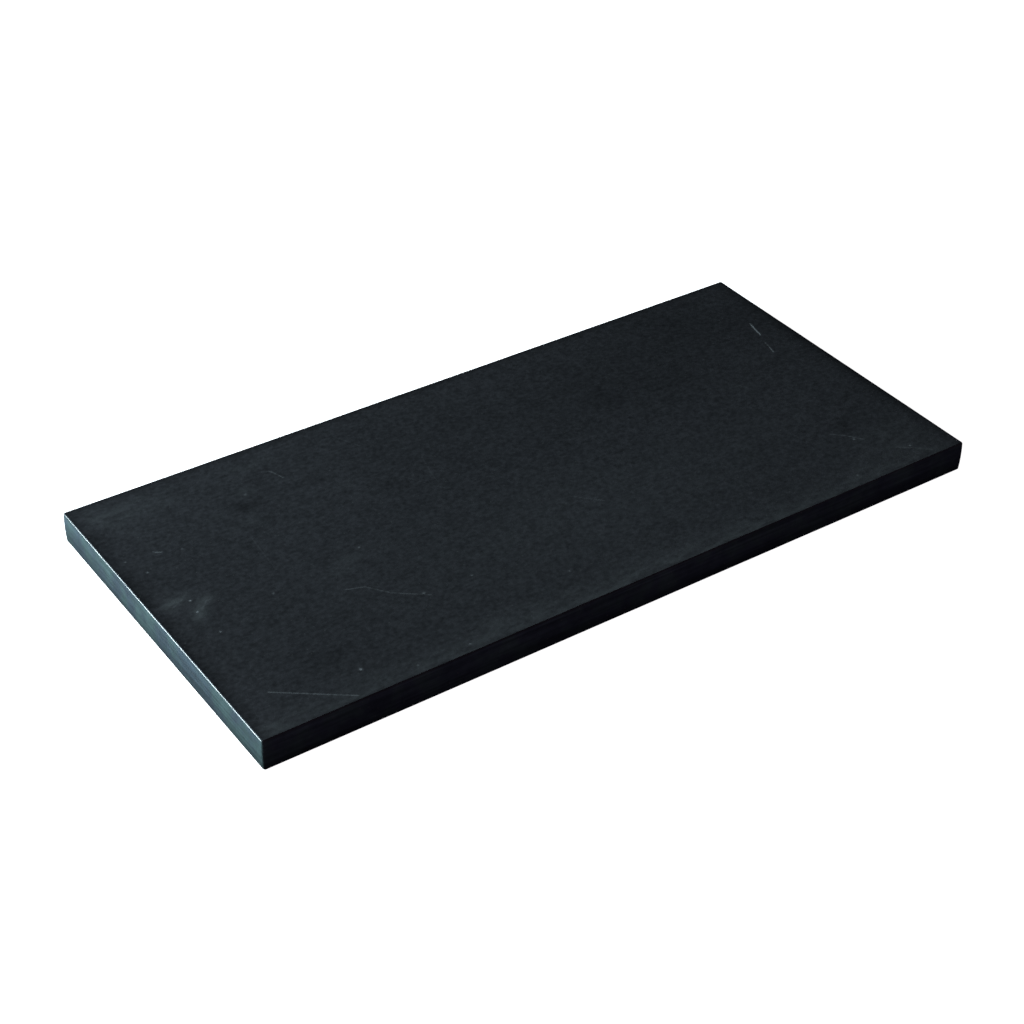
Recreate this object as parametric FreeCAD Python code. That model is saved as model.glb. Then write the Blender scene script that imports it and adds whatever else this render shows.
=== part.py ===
"""A flat massage stone: one rectangular slab of honed black basalt.

The slab is sawn from a block, its faces are honed flat, and its edges and corners are eased by
hand so that they are kind to the skin. Frame: +X along the length, +Y across the width, +Z up
through the thickness. The origin is the middle of the face that the slab rests on.
"""

import FreeCAD, Part
import os

# Driving dimensions, in millimetres.
LENGTH = 250.0
WIDTH = 120.0
THICKNESS = 10.0
CORNER_RADIUS = 0.9  # the four upright edges, seen from above
TOP_ARRIS_RADIUS = 0.55  # the rim of the top face, which the hand and the skin meet
BOTTOM_ARRIS_RADIUS = 0.3  # the rim of the face that the slab rests on

AXIS_TOLERANCE = 1e-6


def sawn_blank():
    """The plain block: centred on X and Y, resting on Z = 0."""
    low_corner = FreeCAD.Vector(-LENGTH / 2, -WIDTH / 2, 0)
    return Part.makeBox(LENGTH, WIDTH, THICKNESS, low_corner)


def is_upright(edge):
    """True for an edge that runs straight up through the thickness."""
    start, end = (vertex.Point for vertex in edge.Vertexes)
    run = end - start
    return abs(run.x) < AXIS_TOLERANCE and abs(run.y) < AXIS_TOLERANCE


def ease_corners(block):
    """Rounds the four upright corners."""
    uprights = [edge for edge in block.Edges if is_upright(edge)]
    return block.makeFillet(CORNER_RADIUS, uprights)


def rim_edges(block, height):
    """The edges that lie wholly in the plane Z = height."""
    return [edge for edge in block.Edges if all(abs(v.Z - height) < AXIS_TOLERANCE for v in edge.Vertexes)]


def ease_rims(block):
    """Rounds the rim of the top face, then the rim of the bottom face."""
    topped = block.makeFillet(TOP_ARRIS_RADIUS, rim_edges(block, THICKNESS))
    return topped.makeFillet(BOTTOM_ARRIS_RADIUS, rim_edges(topped, 0.0))


def stone_slab():
    """The whole stone, as one solid."""
    return ease_rims(ease_corners(sawn_blank()))


os.makedirs("parts", exist_ok=True)
stone_slab().exportStep("parts/stone_slab.step")
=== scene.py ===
"""Looks of the massage stone: one honed basalt slab on a plain pale studio floor.

Lengths inside the stone's own functions are in millimetres from the middle of its underside, and
become metres when the mesh is written. Everything else is in metres, in the CAD model's frame.
"""

import math

import bpy
from mathutils import Matrix, Quaternion, Vector, noise
from mathutils.geometry import delaunay_2d_cdt

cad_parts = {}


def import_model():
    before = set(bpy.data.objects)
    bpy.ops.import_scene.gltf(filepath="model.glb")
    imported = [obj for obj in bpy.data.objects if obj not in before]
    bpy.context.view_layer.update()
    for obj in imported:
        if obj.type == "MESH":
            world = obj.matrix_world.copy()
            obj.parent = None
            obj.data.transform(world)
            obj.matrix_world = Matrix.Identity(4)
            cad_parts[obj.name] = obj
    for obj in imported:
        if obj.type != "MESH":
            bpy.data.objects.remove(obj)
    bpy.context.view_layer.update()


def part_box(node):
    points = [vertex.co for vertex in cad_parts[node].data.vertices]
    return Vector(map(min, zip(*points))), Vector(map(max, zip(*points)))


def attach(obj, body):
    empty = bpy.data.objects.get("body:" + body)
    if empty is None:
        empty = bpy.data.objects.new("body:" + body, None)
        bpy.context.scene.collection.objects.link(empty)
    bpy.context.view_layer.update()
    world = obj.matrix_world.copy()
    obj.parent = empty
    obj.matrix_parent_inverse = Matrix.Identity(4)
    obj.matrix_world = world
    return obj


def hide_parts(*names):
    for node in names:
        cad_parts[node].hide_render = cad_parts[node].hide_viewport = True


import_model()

MM = 0.001
low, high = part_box("stone_slab")
LENGTH, WIDTH, THICKNESS = ((high[i] - low[i]) / MM for i in range(3))
HALF_LENGTH, HALF_WIDTH = LENGTH / 2, WIDTH / 2

# ---------------------------------------------------------------- shape of the stone, in millimetres

CORNER_RADIUS = 0.9  # the upright corners, seen from above
TOP_ARRIS = 0.55  # how far the rim of the top face is eased
BOTTOM_ARRIS = 0.3  # the same for the face that it rests on
ARRIS_VARIATION = 0.12  # share of its size: a hand-held pad doesn't take off the same everywhere
ARRIS_DRIFT = 16.0  # how far along the rim its size takes to change
ARRIS_LAYER = 7.3  # which layer of the noise that size follows
ARRIS_BULGE = 1.5  # 2 is a quarter round and 1 is a flat chamfer
SIDE_CROWN = 0.2  # the sides are rubbed very slightly round from rim to rim
SAW_LINE_DEPTH = 0.012
SAW_LINE_BASE = 1.1  # keeps the lines inside the side's true plane, in line depths
SAW_LINES = (0.018, 1.5)  # how fast the lines change along a side and up it, per millimetre
SAW_LINES_FINE = (0.06, 3.6)  # the same for the finer lines between them
SAW_FINE_SHARE = 0.5  # how deep the finer lines are beside the others
HONED_WAVE = 0.02  # how far out of true the flat faces are
HONED_WAVE_LENGTH = 26.0
HONED_WAVE_START = 6.0  # how far in from its rim a face reaches its full wave

ARRIS_STEPS = 8  # rows of the mesh down an eased rim
SIDE_ROWS = 32  # rows of the mesh down a side
CORNER_STEPS = 8  # columns of the mesh round an upright corner
STATION_STEP = 0.85  # spacing of the mesh round the outline
STATION_FINE = 0.16  # the same beside a chip
STATION_GROWTH = 0.25  # how fast the spacing grows away from a chip
STATION_LAST = 1.4  # the longest last gap on a side, in steps
SUPPORT_INSET = 0.1  # a ring just inside each rim, which keeps the flat faces flat in the shading

# Chips knocked off the lower rims: side, place along it, radius of the bite.
CHIPS = (
    ("right", 22.0, 0.6),
    ("right", -31.0, 0.9),
    ("back", 84.0, 0.6),
    ("back", 12.5, 0.8),
    ("back", -47.0, 0.5),
)
CHIP_OFFSET = 0.72  # how far the bite's centre lies outside the sharp rim, in bite radii
CHIP_DIAGONAL = 0.7  # the share of that offset which points outwards, and also downwards
CHIP_REACH = 1.4  # how far from its centre a bite can change anything, in bite radii
CHIP_ROUGHNESS = 0.22  # share of the bite's radius
CHIP_GRAIN = 2.3  # how fast that roughness changes, per millimetre

# Hairline scratches in the top face: points along each, half its width, and how pale it is.
TOP_SCRATCHES = (
    (((114.8, 32.0), (113.8, 28.2), (113.0, 24.6)), 0.26, 0.85),
    (((111.1, 19.7), (110.5, 16.9), (109.7, 13.9)), 0.22, 0.5),
    (((-113.9, -43.6), (-107.3, -48.5), (-100.9, -53.3), (-94.7, -57.9)), 0.22, 0.3),
    (((-74.3, -17.3), (-69.0, -19.2), (-64.5, -25.4), (-55.5, -32.5)), 0.24, 0.17),
    (((92.9, -33.4), (96.6, -37.0), (99.7, -41.2)), 0.2, 0.22),
    (((-66.0, 46.2), (-63.4, 44.8), (-61.8, 40.0)), 0.26, 0.2),
    (((-111.4, 28.3), (-110.7, 27.4), (-109.4, 26.8)), 0.24, 0.35),
    (((-118.3, 2.2), (-114.8, 3.9), (-112.2, 6.2)), 0.32, 0.08),
    (((-111.9, -2.8), (-109.4, -0.4), (-107.6, 0.3)), 0.3, 0.1),
    (((5.2, -15.6), (8.8, -19.4), (12.4, -23.1)), 0.22, 0.1),
    (((-21.0, 26.0), (-22.6, 19.5), (-24.0, 13.0)), 0.22, 0.06),
    (((-31.5, 21.0), (-27.2, 13.5), (-23.4, 8.0)), 0.22, 0.06),
    (((-84.5, 18.5), (-85.4, 9.0), (-85.9, 1.5)), 0.24, 0.06),
    (((105.2, -50.1), (110.0, -53.6), (113.6, -57.2)), 0.22, 0.15),
    (((-38.0, 50.6), (-35.2, 44.9), (-33.6, 41.8)), 0.22, 0.07),
)
# Small pale nicks in the top face: place, radius, and how pale it is.
TOP_NICKS = (
    ((-88.7, -49.1), 0.38, 0.8),
    ((-75.0, -56.1), 0.3, 0.6),
    ((-58.3, -56.5), 0.3, 0.4),
    ((-117.1, 20.4), 0.34, 0.8),
    ((-120.2, 28.1), 0.3, 0.6),
    ((-113.0, 2.3), 0.32, 0.8),
    ((-113.7, -3.2), 0.36, 0.7),
    ((-112.5, -14.4), 0.3, 0.6),
    ((-103.8, 24.9), 0.4, 0.3),
    ((-60.9, -2.5), 0.3, 0.4),
    ((-75.6, 38.4), 0.4, 0.25),
    ((-56.7, -30.8), 0.4, 0.5),
    ((-41.0, -31.4), 0.35, 0.4),
    ((-92.0, -7.6), 0.35, 0.4),
    ((-16.5, -45.0), 0.3, 0.3),
    ((109.5, -51.7), 0.3, 0.5),
    ((84.8, -54.9), 0.35, 0.5),
    ((97.2, -39.6), 0.35, 0.5),
)
BOTTOM_SCRATCHES = (
    (((-82.0, 21.0), (-61.0, 29.0), (-38.0, 33.0)), 0.22, 0.5),
    (((22.0, -40.0), (31.0, -22.0), (36.0, -5.0)), 0.2, 0.4),
    (((70.0, 12.0), (88.0, 6.0)), 0.2, 0.6),
)
BOTTOM_NICKS = (
    ((-104.0, -38.0), 0.4, 0.8),
    ((51.0, 41.0), 0.35, 0.6),
    ((99.0, -21.0), 0.3, 0.6),
)
MARK_DEPTH = 0.03  # of a mark of paleness 1

# Patches that make the top face paler and duller (above 0) or darker and smoother (below 0): place,
# radii, turn in degrees, strength. The small ones are handling marks; the wide ones and the rim bands are
# painted light and painted shade.
TOP_PATCHES = (
    ((-118.0, 3.5), (5.2, 2.4), 15.0, 1.0),
    ((-110.5, -0.5), (4.0, 2.0), 30.0, 0.8),
    ((-114.0, -5.0), (3.0, 2.2), 50.0, 0.7),
    ((-116.0, 50.0), (10.0, 7.0), 0.0, 0.4),
    ((-102.0, 50.0), (12.0, 5.0), 0.0, 0.25),
    ((-66.0, 51.0), (12.0, 3.0), 5.0, 0.25),
    ((-68.0, -7.0), (7.0, 2.6), 20.0, 0.35),
    ((-75.0, 40.0), (3.0, 2.0), 0.0, 0.35),
    ((-85.0, 35.0), (5.0, 2.0), 20.0, 0.3),
    ((-80.0, 25.5), (4.0, 3.0), 0.0, 0.3),
    ((-49.0, 26.0), (6.0, 1.8), 0.0, 0.25),
    ((-4.0, 27.5), (3.0, 2.4), 0.0, 0.25),
    ((111.0, 49.0), (6.5, 3.2), 0.0, 0.35),
    ((88.0, 3.5), (3.5, 2.6), 0.0, 0.3),
    ((85.5, -54.5), (4.0, 2.0), 0.0, 0.45),
    ((108.0, -46.0), (16.0, 9.0), 20.0, 0.35),
    ((-121.0, -56.0), (4.0, 3.0), 0.0, 0.45),
    ((-46.0, -52.0), (4.0, 2.4), 0.0, 0.3),
    # Painted light: a pale band along the front rim, and a broad paler area across the front middle.
    ((0.0, -61.5), (150.0, 8.0), 0.0, 0.7),
    ((5.0, -26.0), (75.0, 24.0), 0.0, 0.16),
    # Painted shade: a broad darker area across the back middle, and dark bands just inside the left, right
    # and back rims.
    ((10.0, 36.0), (60.0, 18.0), 0.0, -0.2),
    ((-125.0, 0.0), (3.2, 75.0), 0.0, -0.95),
    ((125.0, 0.0), (3.6, 75.0), 0.0, -1.2),
    ((0.0, 60.0), (150.0, 2.2), 0.0, -0.9),
    ((-121.0, 42.0), (3.6, 7.0), 0.0, -0.35),
    ((-116.0, 17.0), (11.0, 7.0), -15.0, -0.2),
    ((-79.5, 33.5), (5.5, 2.0), -15.0, -0.7),
    ((-53.0, 33.0), (4.0, 1.8), -20.0, -0.5),
    ((-38.0, 18.5), (4.5, 2.6), 0.0, -0.4),
    ((-96.0, -40.0), (7.0, 5.0), 0.0, -0.3),
    ((106.0, 9.5), (5.0, 1.8), 15.0, -0.35),
    ((73.0, 19.0), (6.0, 5.0), 0.0, -0.25),
    # Painted shade: a broad darker area at the back right.
    ((92.0, 40.0), (45.0, 28.0), 0.0, -0.35),
    ((46.0, 21.0), (6.0, 5.0), 0.0, -0.25),
    ((99.0, -32.0), (3.2, 3.2), 0.0, -0.5),
)
BOTTOM_PATCHES = (
    ((-60.0, 20.0), (22.0, 12.0), 20.0, 0.35),
    ((48.0, -22.0), (26.0, 10.0), -12.0, 0.3),
    ((96.0, 34.0), (14.0, 9.0), 0.0, -0.4),
    ((-10.0, -30.0), (16.0, 9.0), 30.0, -0.35),
)
RUBBED_WIDTH = 0.5  # how far in from its rim a face shares the rim's smoothness
SIDE_FOOT = -1.25  # painted shade: how dark the sides are at the face that the slab rests on, as for a patch

FACE_ROOT_CELL = 4.0  # the flat faces' cells before they are divided
FACE_CELL_COARSE = 2.6  # the largest cell that is wanted
FACE_CELL_RIM = 0.5  # the cell beside the rim
FACE_CELL_MARK = 0.17  # the cell beside a mark or a chip
FACE_GRADE_RIM = 0.35  # how fast cells grow away from the rim
FACE_GRADE_MARK = 0.55  # the same away from a mark or a chip
FACE_CELL_SLACK = 1.15  # a cell this many times the wanted size is left whole
MERGE_DISTANCE = 1e-6


def smooth_noise(x, y, z=0.0):
    """Even, repeatable noise from about -1 to 1."""
    return noise.noise(Vector((x, y, z)))


def side_frames():
    """Each side's name, straight start, direction and outward normal, anticlockwise from above."""
    run_x, run_y = HALF_LENGTH - CORNER_RADIUS, HALF_WIDTH - CORNER_RADIUS
    return (
        ("front", Vector((-run_x, -HALF_WIDTH)), Vector((1, 0)), Vector((0, -1)), 2 * run_x),
        ("right", Vector((HALF_LENGTH, -run_y)), Vector((0, 1)), Vector((1, 0)), 2 * run_y),
        ("back", Vector((run_x, HALF_WIDTH)), Vector((-1, 0)), Vector((0, 1)), 2 * run_x),
        ("left", Vector((-HALF_LENGTH, run_y)), Vector((0, -1)), Vector((-1, 0)), 2 * run_y),
    )


def chip_places():
    """(centre of the bite, its radius) for each chip. The centre lies outside the slab's rim."""
    frames = {name: (start, along, out, run) for name, start, along, out, run in side_frames()}
    places = []
    for name, place, radius in CHIPS:
        start, along, out, run = frames[name]
        # Places along a side count from its middle, towards +X or +Y.
        sign = along.x + along.y
        point = start + along * (run / 2 + sign * place) + out * CHIP_OFFSET * radius * CHIP_DIAGONAL
        height = -CHIP_OFFSET * radius * CHIP_DIAGONAL
        places.append((Vector((point.x, point.y, height)), radius))
    return places


def graded(length, focuses):
    """Places from 0 to length, close together near each focus."""
    places = [0.0]
    while True:
        nearest = min((abs(places[-1] - focus) for focus in focuses), default=length)
        step = min(STATION_STEP, STATION_FINE + STATION_GROWTH * nearest)
        if places[-1] + STATION_LAST * step >= length:
            return places
        places.append(places[-1] + step)


def stations(chips):
    """(point, outward normal) round the slab's outline, anticlockwise from above."""
    found = []
    for name, start, along, out, run in side_frames():
        focuses = [
            (centre.xy - start).dot(along)
            for centre, radius in chips
            if abs((centre.xy - start).dot(out)) < 2 * radius
        ]
        for place in graded(run, focuses):
            found.append((start + along * place, out))
        centre = start + along * run - out * CORNER_RADIUS
        for step in range(CORNER_STEPS):
            turn = math.pi / 2 * step / CORNER_STEPS
            normal = out * math.cos(turn) + along * math.sin(turn)
            found.append((centre + normal * CORNER_RADIUS, normal))
    return found


def arris_profile(size):
    """(inset, drop, share of the way down) from a flat face's edge to just short of the side."""
    power = 2 / ARRIS_BULGE
    rows = []
    for step in range(ARRIS_STEPS):
        share = step / ARRIS_STEPS
        turn = math.pi / 2 * share
        rows.append((size * (1 - math.sin(turn) ** power), size * (1 - math.cos(turn) ** power), share))
    return rows


def side_profile(point):
    """(inset, height, share upright) down the side here, from the top face's edge to the bottom's."""
    drift = smooth_noise(point.x / ARRIS_DRIFT, point.y / ARRIS_DRIFT, ARRIS_LAYER)
    uneven = 1 + ARRIS_VARIATION * drift
    top, bottom = TOP_ARRIS * uneven, BOTTOM_ARRIS * uneven
    rows = [(inset, THICKNESS - drop, share) for inset, drop, share in arris_profile(top)]
    for row in range(SIDE_ROWS + 1):
        rows.append((0.0, THICKNESS - top - row / SIDE_ROWS * (THICKNESS - top - bottom), 1.0))
    rows.extend((inset, drop, share) for inset, drop, share in reversed(arris_profile(bottom)))
    return rows


def side_relief(point, normal, height):
    """How far a side lies inside the true plane: its crown and its saw lines."""
    middle = (height - THICKNESS / 2) / (THICKNESS / 2)
    crown = SIDE_CROWN * middle * middle
    along = point.x * normal.y - point.y * normal.x
    # Each side takes its lines from its own layers of the noise, which its normal picks.
    lines = smooth_noise(along * SAW_LINES[0], height * SAW_LINES[1], 3.0 * normal.x + 5.0 * normal.y)
    fine_layer = 11.0 + normal.x + normal.y
    fine = smooth_noise(along * SAW_LINES_FINE[0], height * SAW_LINES_FINE[1], fine_layer)
    return crown + SAW_LINE_DEPTH * (SAW_LINE_BASE + lines + SAW_FINE_SHARE * fine)


def bitten(point, chips):
    """The point, pushed out of any chip's bite."""
    for centre, radius in chips:
        reach = point - centre
        if reach.length < CHIP_REACH * radius:
            rough = radius * (1 + CHIP_ROUGHNESS * smooth_noise(*(point * CHIP_GRAIN)))
            if reach.length < rough:
                point = centre + reach.normalized() * rough
    return point


def segment_distance(point, start, end):
    """From the point to the nearest place on the straight line from start to end."""
    run = end - start
    share = max(0.0, min(1.0, (point - start).dot(run) / run.length_squared))
    return (point - start - run * share).length


class Marks:
    """The scratches, nicks and patches of one face: handling marks, and on the top face also painted light
    and shade.
    """

    def __init__(self, scratches, nicks, patches):
        self.patches = patches
        self.scratches = [([Vector(p) for p in points], half, pale) for points, half, pale in scratches]
        self.nicks = [(Vector(place), radius, pale) for place, radius, pale in nicks]

    def distance(self, point):
        """To the nearest mark's edge, at least 0."""
        best = LENGTH
        for points, half, _ in self.scratches:
            for start, end in zip(points, points[1:]):
                best = min(best, segment_distance(point, start, end) - 2 * half)
        for place, radius, _ in self.nicks:
            best = min(best, (point - place).length - radius)
        return max(best, 0.0)

    def strength(self, point):
        """How pale the nearest mark makes the stone here, from 0."""
        total = 0.0
        for points, half, pale in self.scratches:
            near = min(segment_distance(point, start, end) for start, end in zip(points, points[1:]))
            total = max(total, pale * math.exp(-((near / half) ** 2)))
        for place, radius, pale in self.nicks:
            near = (point - place).length
            total = max(total, pale * math.exp(-((near / radius) ** 2)))
        return total

    def handled(self, point):
        """Above 0 where the face is paler and duller here, below 0 where it is darker: handling marks,
        painted light and painted shade.
        """
        total = 0.0
        for place, radii, turn, strength in self.patches:
            away = point - Vector(place)
            away.rotate(Matrix.Rotation(math.radians(-turn), 2))
            total += strength * math.exp(-((away.x / radii[0]) ** 2) - (away.y / radii[1]) ** 2)
        return total


def face_points(marks, chips):
    """Points inside a flat face, close together near its rim, its marks and its chips."""
    eased = TOP_ARRIS * (1 + ARRIS_VARIATION) + 2 * SUPPORT_INSET
    inner_x, inner_y = HALF_LENGTH - eased, HALF_WIDTH - eased
    points = []

    def wanted(centre):
        rim = min(inner_x - abs(centre.x), inner_y - abs(centre.y))
        chip = min((max((centre - c.xy).length - r, 0.0) for c, r in chips), default=LENGTH)
        return min(
            FACE_CELL_COARSE,
            FACE_CELL_RIM + FACE_GRADE_RIM * max(rim, 0.0),
            FACE_CELL_MARK + FACE_GRADE_MARK * min(marks.distance(centre), chip),
        )

    def divide(centre, size):
        if size > wanted(centre) * FACE_CELL_SLACK:
            quarter = size / 4
            for dx in (-quarter, quarter):
                for dy in (-quarter, quarter):
                    divide(centre + Vector((dx, dy)), size / 2)
        elif abs(centre.x) < inner_x and abs(centre.y) < inner_y:
            points.append(centre)

    columns, rows = (math.ceil(2 * half / FACE_ROOT_CELL) for half in (inner_x, inner_y))
    for column in range(columns):
        for row in range(rows):
            x = (column + 0.5 - columns / 2) * FACE_ROOT_CELL
            y = (row + 0.5 - rows / 2) * FACE_ROOT_CELL
            divide(Vector((x, y)), FACE_ROOT_CELL)
    return points


def outline_rings(outline, chips):
    """The slab's sides as rings of points from the top face's edge down to the bottom's."""
    columns = []
    for point, normal in outline:
        column = []
        for inset, height, upright in side_profile(point):
            inwards = inset + side_relief(point, normal, height) * upright
            flat = point - normal * inwards
            column.append((bitten(Vector((flat.x, flat.y, height)), chips), upright))
        columns.append(column)
    return [list(ring) for ring in zip(*columns)]


class Builder:
    """Collects the slab's points, faces and what each point is like."""

    def __init__(self):
        self.points = []
        self.faces = []
        self.layers = {"side": [], "rim": [], "scuff": [], "handled": []}

    def add(self, point, **values):
        self.points.append(point)
        for name, layer in self.layers.items():
            layer.append(values.get(name, 0.0))
        return len(self.points) - 1

    def mesh(self, name):
        made = bpy.data.meshes.new(name)
        made.from_pydata([point * MM for point in self.points], [], self.faces)
        for layer, values in self.layers.items():
            made.attributes.new(layer, "FLOAT", "POINT").data.foreach_set("value", values)
        made.validate()
        made.shade_smooth()
        return made


def add_face(build, outline, first, level, marks, chips):
    """One flat face, joined to the ring of points that starts at first."""
    top = level > 0
    arris = TOP_ARRIS if top else BOTTOM_ARRIS
    count = len(outline)
    rim = [build.points[first + place].xy for place in range(count)]
    support = [edge - normal * SUPPORT_INSET for edge, (_, normal) in zip(rim, outline)]
    flat = rim + support + face_points(marks, chips)
    loop = [list(range(count))]
    placed, _, triangles, origins, _, _ = delaunay_2d_cdt(flat, [], loop, 1, MERGE_DISTANCE)
    index = []
    for place, origin in zip(placed, origins):
        if origin and origin[0] < count:
            index.append(first + origin[0])
            continue
        pale = marks.strength(place)
        inside = min(HALF_LENGTH - abs(place.x), HALF_WIDTH - abs(place.y)) - arris
        swell = smooth_noise(place.x / HONED_WAVE_LENGTH, place.y / HONED_WAVE_LENGTH, level)
        wave = HONED_WAVE * (1 + swell) / 2
        sink = wave * min(1.0, max(0.0, inside) / HONED_WAVE_START) + MARK_DEPTH * pale
        point = Vector((place.x, place.y, level - sink if top else level + sink))
        rubbed = math.exp(-max(0.0, inside) / RUBBED_WIDTH)
        index.append(build.add(bitten(point, chips), rim=rubbed, scuff=pale, handled=marks.handled(place)))
    for triangle in triangles:
        corners = [index[corner] for corner in triangle]
        build.faces.append(corners if top else corners[::-1])


def stone_mesh():
    """The slab's closed mesh, with what its surface is like at each point."""
    build = Builder()
    chips = chip_places()
    outline = stations(chips)
    count = len(outline)
    rings = outline_rings(outline, chips)
    for ring in rings:
        for point, upright in ring:
            # Painted shade: the sides get darker towards the face that the slab rests on.
            foot = SIDE_FOOT * (1 - point.z / THICKNESS) ** 2
            build.add(point, side=upright, rim=1.0 if upright < 1 else 0.0, handled=foot * upright)
    for row in range(len(rings) - 1):
        for place in range(count):
            after = (place + 1) % count
            above, below = row * count, (row + 1) * count
            build.faces.append((above + place, below + place, below + after, above + after))
    top_marks = Marks(TOP_SCRATCHES, TOP_NICKS, TOP_PATCHES)
    bottom_marks = Marks(BOTTOM_SCRATCHES, BOTTOM_NICKS, BOTTOM_PATCHES)
    for first, level, marks in ((0, THICKNESS, top_marks), ((len(rings) - 1) * count, 0.0, bottom_marks)):
        near = [(centre, radius) for centre, radius in chips if abs(centre.z - level) < THICKNESS / 2]
        add_face(build, outline, first, level, marks, near)
    return build.mesh("honed_slab")


# ---------------------------------------------------------------- materials

BASALT = (0.0129, 0.0135, 0.0152)  # the honed faces
BASALT_SIDE = (0.0104, 0.0150, 0.0190)  # the sides
BASALT_GREEN = (0.0104, 0.0171, 0.0175)  # the sides' greener mottles
SCUFFED = (0.115, 0.125, 0.13)  # scratches and nicks
DUST_AND_PAINTED_LIGHT = (0.046, 0.052, 0.053)  # the pale patches: handling marks, and painted light
FLECK = (0.030, 0.032, 0.032)  # single paler mineral grains

# How finely each texture repeats, per metre, along X, Y and Z where it is stretched. Turns are in
# degrees about Z.
GRAIN_SCALE = (760.0, 880.0, 850.0)
COARSE_SCALE = 330.0
CLOUD_SCALE = 16.0
MOTTLE_SCALE = 115.0
STREAK_SCALE = (55.0, 900.0, 300.0)
STREAK_TURN = 5
CROSS_SCALE = (70.0, 1100.0, 300.0)
CROSS_TURN = -9
WISP_SCALE = (150.0, 420.0, 300.0)
WISP_TURN = -30
SAW_SCALE = (26.0, 26.0, 1500.0)
FLECK_SCALE = 1100.0

GRAIN_DEPTH = 0.000025  # relief of the grain, in metres
SAW_DEPTH = 0.00006  # relief of the saw lines on the sides, in metres
EDGE_EVENNESS = 0.75  # how much fainter the grain is on the sides and rims
HANDLED_AND_PAINTED_LIGHT_PALENESS = 0.5  # how far a pale patch goes towards its paler colour: handling marks, and painted light
HANDLED_AND_PAINTED_SHADE_DARKNESS = 0.5  # how much a dark patch takes away: handling marks, and painted shade, also at the foot of the sides
HANDLED_DULLNESS = 0.07  # roughness added per unit of the patch values, which hold handling marks and painted light and shade
SCUFF_DULLNESS = 0.12  # roughness that a scratch adds
RIM_SMOOTHER = 0.4  # the eased rims are less rough than the faces by this much
STONE_IOR = 1.5


class Nodes:
    """Short calls for building a material's node tree."""

    def __init__(self, material):
        material.use_nodes = True
        self.tree = material.node_tree
        self.tree.nodes.clear()
        coordinates = self.tree.nodes.new("ShaderNodeTexCoord")
        self.place = coordinates.outputs["Object"]

    def link(self, value, socket):
        if isinstance(value, bpy.types.NodeSocket):
            self.tree.links.new(value, socket)
        else:
            socket.default_value = value

    def math(self, operation, first, second=0.0, clamp=False):
        made = self.tree.nodes.new("ShaderNodeMath")
        made.operation = operation
        made.use_clamp = clamp
        self.link(first, made.inputs[0])
        self.link(second, made.inputs[1])
        return made.outputs[0]

    def ramp(self, value, start, end, low_value=0.0, high_value=1.0):
        """value from start..end to low_value..high_value, smoothly and clamped."""
        made = self.tree.nodes.new("ShaderNodeMapRange")
        made.interpolation_type = "SMOOTHSTEP"
        self.link(value, made.inputs["Value"])
        made.inputs["From Min"].default_value = start
        made.inputs["From Max"].default_value = end
        made.inputs["To Min"].default_value = low_value
        made.inputs["To Max"].default_value = high_value
        return made.outputs["Result"]

    def stretched(self, scale, turn=0.0):
        """The piece's own coordinates, turned about Z and scaled."""
        made = self.tree.nodes.new("ShaderNodeMapping")
        self.link(self.place, made.inputs["Vector"])
        made.inputs["Rotation"].default_value = (0, 0, turn)
        made.inputs["Scale"].default_value = scale
        return made.outputs["Vector"]

    def noise(self, scale, detail=2.0, rough=0.5, vector=None):
        made = self.tree.nodes.new("ShaderNodeTexNoise")
        self.link(vector or self.place, made.inputs["Vector"])
        made.inputs["Scale"].default_value = scale
        made.inputs["Detail"].default_value = detail
        made.inputs["Roughness"].default_value = rough
        return made.outputs["Fac"]

    def cells(self, scale):
        """(distance to the nearest cell's middle, a random number for the cell)."""
        made = self.tree.nodes.new("ShaderNodeTexVoronoi")
        self.link(self.place, made.inputs["Vector"])
        made.inputs["Scale"].default_value = scale
        split = self.tree.nodes.new("ShaderNodeSeparateColor")
        self.tree.links.new(made.outputs["Color"], split.inputs[0])
        return made.outputs["Distance"], split.outputs[0]

    def attribute(self, name):
        made = self.tree.nodes.new("ShaderNodeAttribute")
        made.attribute_name = name
        return made.outputs["Fac"]

    def mix(self, share, first, second):
        made = self.tree.nodes.new("ShaderNodeMix")
        made.data_type = "RGBA"
        self.link(share, made.inputs["Factor"])
        for name, value in (("A", first), ("B", second)):
            socket = next(s for s in made.inputs if s.name == name and s.type == "RGBA")
            self.link(value if isinstance(value, bpy.types.NodeSocket) else (*value, 1), socket)
        return next(s for s in made.outputs if s.type == "RGBA")

    def scaled(self, colour, factor):
        made = self.tree.nodes.new("ShaderNodeVectorMath")
        made.operation = "SCALE"
        self.link(colour, made.inputs[0])
        self.link(factor, made.inputs["Scale"])
        return made.outputs["Vector"]

    def bump(self, height, depth, before=None):
        made = self.tree.nodes.new("ShaderNodeBump")
        made.inputs["Distance"].default_value = depth
        self.link(height, made.inputs["Height"])
        if before is not None:
            self.tree.links.new(before, made.inputs["Normal"])
        return made.outputs["Normal"]


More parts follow.
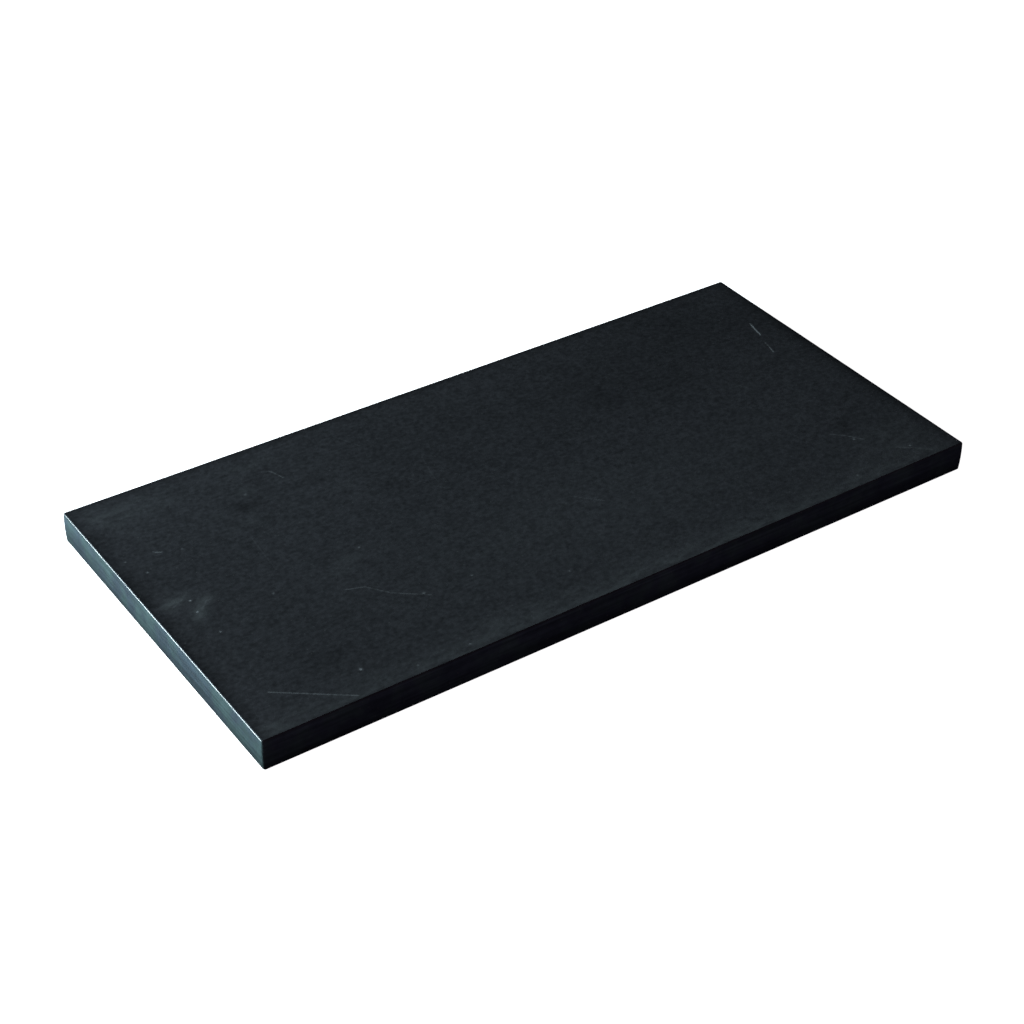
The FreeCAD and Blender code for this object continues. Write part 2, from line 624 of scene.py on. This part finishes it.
def basalt():
    """Honed black basalt: fine mineral grain, faint clouds, honing streaks, and saw lines on the sides."""
    material = bpy.data.materials.new("honed_basalt")
    make = Nodes(material)
    side = make.attribute("side")
    rim = make.attribute("rim")
    scuff = make.attribute("scuff")
    handled = make.attribute("handled")

    grain = make.noise(1.0, detail=1.0, rough=0.4, vector=make.stretched(GRAIN_SCALE))
    coarse = make.noise(COARSE_SCALE)
    clouds = make.noise(CLOUD_SCALE, detail=4.0, rough=0.55)
    mottle = make.noise(MOTTLE_SCALE, detail=3.0, rough=0.55)
    streaks = make.noise(1.0, detail=3.0, vector=make.stretched(STREAK_SCALE, math.radians(STREAK_TURN)))
    cross = make.noise(1.0, detail=3.0, vector=make.stretched(CROSS_SCALE, math.radians(CROSS_TURN)))
    wisps = make.noise(1.0, detail=3.0, vector=make.stretched(WISP_SCALE, math.radians(WISP_TURN)))
    saw = make.noise(1.0, detail=4.0, rough=0.65, vector=make.stretched(SAW_SCALE))
    cell_distance, cell_pick = make.cells(FLECK_SCALE)

    edge = make.math("MAXIMUM", side, rim)
    even = make.math("SUBTRACT", 1.0, make.math("MULTIPLY", edge, EDGE_EVENNESS))
    speckle = make.math("MULTIPLY", make.math("SUBTRACT", grain, 0.5), even)
    shade = make.math("ADD", 1.0, speckle)
    # Each texture, the range of it that counts, and how dark and light it makes the stone.
    for texture, start, end, dark, light in (
        (coarse, 0.3, 0.7, 0.92, 1.08),
        (clouds, 0.3, 0.7, 0.94, 1.06),
        (streaks, 0.35, 0.7, 0.97, 1.04),
        (cross, 0.35, 0.7, 0.97, 1.03),
    ):
        shade = make.math("MULTIPLY", shade, make.ramp(texture, start, end, dark, light))
    side_shade = make.ramp(saw, 0.3, 0.7, 0.70, 1.30)
    side_shade = make.math("MULTIPLY", side_shade, make.ramp(mottle, 0.3, 0.7, 0.85, 1.15))
    lifted = make.math("ADD", make.math("MULTIPLY", make.math("SUBTRACT", side_shade, 1.0), side), 1.0)
    shade = make.math("MULTIPLY", shade, lifted)

    # Paler patches are handling marks and painted light; darker ones are handling marks and painted shade,
    # with the sides' painted shade at the bottom.
    dust_and_painted_light = make.math("MULTIPLY", handled, make.ramp(wisps, 0.35, 0.65, 0.25, 1.0), clamp=True)
    # Darkening: handling marks, and painted shade in the rim bands, the broad back areas and at the foot
    # of the sides.
    darkening_and_painted_shade = make.math("MULTIPLY", handled, -HANDLED_AND_PAINTED_SHADE_DARKNESS, clamp=True)
    shade = make.math("MULTIPLY", shade, make.math("SUBTRACT", 1.0, darkening_and_painted_shade))

    side_colour = make.mix(make.ramp(mottle, 0.42, 0.62), BASALT_SIDE, BASALT_GREEN)
    colour = make.mix(side, BASALT, side_colour)
    colour = make.scaled(colour, shade)
    picked = make.ramp(cell_pick, 0.93, 0.96)
    fleck = make.math("MULTIPLY", picked, make.ramp(cell_distance, 0.12, 0.32, 0.5, 0.0))
    colour = make.mix(fleck, colour, FLECK)
    colour = make.mix(make.math("MULTIPLY", dust_and_painted_light, HANDLED_AND_PAINTED_LIGHT_PALENESS), colour, DUST_AND_PAINTED_LIGHT)
    broken = make.math("MULTIPLY", scuff, make.ramp(grain, 0.35, 0.6, 0.45, 1.0), clamp=True)
    colour = make.mix(broken, colour, SCUFFED)

    rough = make.ramp(grain, 0.3, 0.7, 0.60, 0.70)
    rough = make.math("ADD", rough, make.ramp(clouds, 0.3, 0.7, -0.02, 0.02))
    rough = make.math("ADD", rough, make.math("MULTIPLY", handled, HANDLED_DULLNESS))
    rough = make.math("ADD", rough, make.math("MULTIPLY", scuff, SCUFF_DULLNESS))
    rough = make.math("SUBTRACT", rough, make.math("MULTIPLY", rim, RIM_SMOOTHER))

    normal = make.bump(speckle, GRAIN_DEPTH)
    lines = make.math("MULTIPLY", make.math("SUBTRACT", saw, 0.5), side)
    normal = make.bump(lines, SAW_DEPTH, normal)

    shader = make.tree.nodes.new("ShaderNodeBsdfPrincipled")
    shader.inputs["IOR"].default_value = STONE_IOR
    make.link(colour, shader.inputs["Base Color"])
    make.link(rough, shader.inputs["Roughness"])
    make.link(normal, shader.inputs["Normal"])
    output = make.tree.nodes.new("ShaderNodeOutputMaterial")
    make.link(shader.outputs[0], output.inputs["Surface"])
    return material


FLOOR_GLOW = 1.0
FLOOR_ALBEDO = 0.6
FLOOR_SIZE = 40.0  # metres, so that its edge is far outside every view


def floor_material():
    """A pale matt floor that glows as bright as the surround, so that it reads as plain white."""
    material = bpy.data.materials.new("pale_floor")
    make = Nodes(material)
    shader = make.tree.nodes.new("ShaderNodeBsdfPrincipled")
    shader.inputs["Base Color"].default_value = (FLOOR_ALBEDO, FLOOR_ALBEDO, FLOOR_ALBEDO, 1)
    shader.inputs["Roughness"].default_value = 1.0
    shader.inputs["Specular IOR Level"].default_value = 0.0
    shader.inputs["Emission Color"].default_value = (1, 1, 1, 1)
    shader.inputs["Emission Strength"].default_value = FLOOR_GLOW
    output = make.tree.nodes.new("ShaderNodeOutputMaterial")
    make.link(shader.outputs[0], output.inputs["Surface"])
    return material


# ---------------------------------------------------------------- scene

# The camera's place round the slab, in degrees and in slab lengths from what it looks at.
VIEW_AZIMUTH = -35.346
VIEW_ELEVATION = 36.153
VIEW_ROLL = 1.193
VIEW_DISTANCE = 2.540
VIEW_AIM = (-0.0403, -0.0281)  # from the slab's middle, in slab lengths
VIEW_LENS_MM = 74.328

# Soft panels: bearing (degrees from +X towards +Y), height in degrees, distance, width and height,
# power, colour, and whether the panel gives the shade or the sheen. The window is two panels, so
# that its light can be strong while its sheen stays as weak as honed stone shows it.
LIGHTS = (
    ("window", 141, 7, 1.0, (0.5, 0.25), 106.0, (0.76, 0.93, 1.0), "shade"),
    ("window_sheen", 141, 6, 1.5, (0.6, 0.25), 23.0, (0.80, 0.96, 1.0), "sheen"),
    ("front_fill", -120, 12, 1.5, (0.6, 0.4), 9.4, (1.0, 0.70, 0.91), "shade"),
    ("right_fill", 20, 12, 1.5, (0.6, 0.4), 8.0, (1.0, 1.0, 1.0), "shade"),
)


def stone():
    piece = bpy.data.objects.new("basalt_stone", stone_mesh())
    bpy.context.scene.collection.objects.link(piece)
    piece.data.materials.append(basalt())
    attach(piece, "root")
    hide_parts("stone_slab")


def floor():
    half = FLOOR_SIZE / 2
    mesh = bpy.data.meshes.new("pale_floor")
    corners = [(-half, -half, low.z), (half, -half, low.z), (half, half, low.z), (-half, half, low.z)]
    mesh.from_pydata(corners, [], [(0, 1, 2, 3)])
    mesh.materials.append(floor_material())
    sheet = bpy.data.objects.new("studio_floor", mesh)
    bpy.context.scene.collection.objects.link(sheet)
    sheet.visible_diffuse = False
    sheet.visible_glossy = False


def world():
    """A white surround that the camera sees and that lights nothing."""
    made = bpy.data.worlds.new("white_surround")
    bpy.context.scene.world = made
    made.use_nodes = True
    made.node_tree.nodes["Background"].inputs["Color"].default_value = (1, 1, 1, 1)
    made.cycles_visibility.diffuse = False
    made.cycles_visibility.glossy = False


def lights():
    middle = (low + high) / 2
    for name, bearing, rise, distance, size, power, colour, part in LIGHTS:
        light = bpy.data.lights.new(name, "AREA")
        light.shape = "RECTANGLE"
        light.size, light.size_y = size
        light.energy = power
        light.color = colour
        lamp = bpy.data.objects.new(name, light)
        bpy.context.scene.collection.objects.link(lamp)
        turn, tilt = math.radians(bearing), math.radians(rise)
        flat = math.cos(tilt)
        away = Vector((math.cos(turn) * flat, math.sin(turn) * flat, math.sin(tilt)))
        lamp.location = middle + away * distance
        lamp.rotation_euler = away.to_track_quat("Z", "Y").to_euler()
        lamp.visible_camera = False
        lamp.visible_diffuse = part == "shade"
        lamp.visible_glossy = part == "sheen"


def camera():
    azimuth, elevation = math.radians(VIEW_AZIMUTH), math.radians(VIEW_ELEVATION)
    back = Vector(
        (
            math.sin(azimuth) * math.cos(elevation),
            -math.cos(azimuth) * math.cos(elevation),
            math.sin(elevation),
        )
    )
    length = high.x - low.x
    aim = (low + high) / 2 + Vector((VIEW_AIM[0] * length, VIEW_AIM[1] * length, 0))
    data = bpy.data.cameras.new("photo_view")
    data.lens = VIEW_LENS_MM
    made = bpy.data.objects.new("photo_view", data)
    bpy.context.scene.collection.objects.link(made)
    made.location = aim + back * VIEW_DISTANCE * length
    upright = back.to_track_quat("Z", "Y")
    made.rotation_euler = (upright @ Quaternion((0, 0, 1), math.radians(VIEW_ROLL))).to_euler()
    bpy.context.scene.camera = made


camera()
world()
floor()
lights()
stone()
bpy.context.scene.view_settings.view_transform = "Standard"
